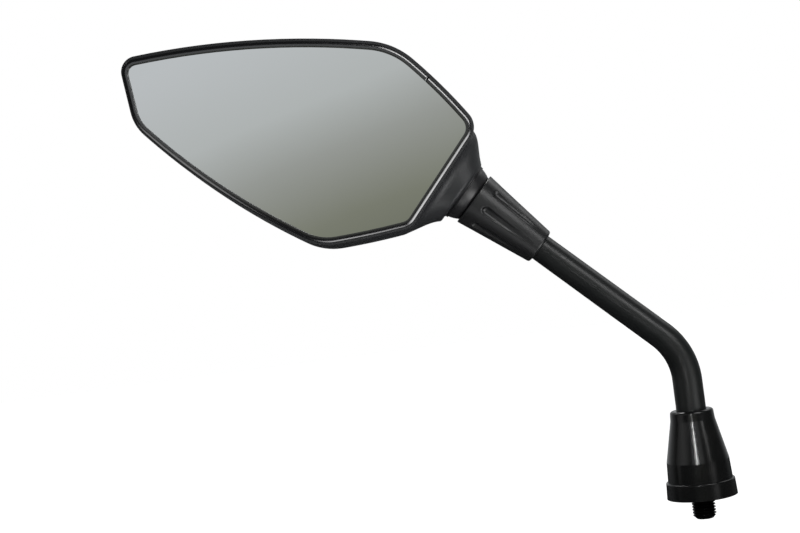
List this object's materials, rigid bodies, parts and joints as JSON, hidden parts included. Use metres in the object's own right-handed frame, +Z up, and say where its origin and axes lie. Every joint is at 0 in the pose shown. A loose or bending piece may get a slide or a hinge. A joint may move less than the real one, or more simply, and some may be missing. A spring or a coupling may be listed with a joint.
{
  "type": "motorcycle mirror",
  "caption": "Motorcycle rear-view mirror: convex six-cornered glass in a black housing, ball-jointed on a bent stem with a fluted sleeve, rubber boot and threaded stud.",
  "frame": {"origin": "on the mounting stud's axis at the adapter's seat face", "axes": "+Z up along the stud, the stem bends in the XZ plane towards -X, the glass faces -Y"},
  "size_m": [0.2339, 0.035, 0.2245],
  "materials": {
    "zinc_steel": "dark zinc",
    "ball_steel": "turned",
    "boot_rubber": "satin",
    "seal_rubber": "satin",
    "stem_black": "satin black",
    "collar_black": "black anodised",
    "socket_black": "black anodised",
    "nylon": "natural",
    "mirror": "silvered",
    "bead_black": "gloss",
    "foam": "foam",
    "inner_plastic": "moulded",
    "housing_black": "satin"
  },
  "bodies": {
    "base": {"base_adapter": "zinc_steel", "base_lock_nut": "zinc_steel"},
    "stem": {"stem": "stem_black", "ball_lock_nut": "zinc_steel"},
    "boot": {"base_boot": "boot_rubber"},
    "collar": {"fluted_collar": "collar_black", "collar_grip_ring": "seal_rubber"},
    "ball": {"ball_stud": "ball_steel"},
    "cup": {"ball_cup": "nylon"},
    "head": {"housing": "housing_black", "socket_nut": "socket_black", "neck_seal_ring": "seal_rubber", "thrust_pad": "ball_steel", "disc_springs": "ball_steel", "spring_seat": "ball_steel", "mirror_glass": "mirror", "glass_gasket": "bead_black", "adhesive_pad": "foam", "backing_plate": "inner_plastic", "plate_screws": "ball_steel"}
  },
  "joints": [
    {"name": "stem_turn", "type": "hinge", "parent": "base", "child": "stem", "pos_m": [0, 0, 0], "axis": [0, 0, 1], "range_deg": [-180, 180]},
    {"name": "boot_slide", "type": "slide", "parent": "stem", "child": "boot", "axis": [0, 0, 1], "range_m": [0, 0.012]},
    {"name": "collar_slide", "type": "slide", "parent": "stem", "child": "collar", "axis": [0.7254, 0, -0.6884], "range_m": [0, 0.045]},
    {"name": "ball_turn", "type": "hinge", "parent": "stem", "child": "ball", "pos_m": [-0.08509, 0, 0.14264], "axis": [0.7254, 0, -0.6884], "range_deg": [-180, 180]},
    {"name": "head_tilt", "type": "hinge", "parent": "ball", "child": "cup", "pos_m": [-0.08509, 0, 0.14264], "axis": [0.6884, 0, 0.7254], "range_deg": [-15, 15]},
    {"name": "head_swing", "type": "hinge", "parent": "cup", "child": "head", "pos_m": [-0.08509, 0, 0.14264], "axis": [0, 1, 0], "range_deg": [-15, 15]}
  ]
}
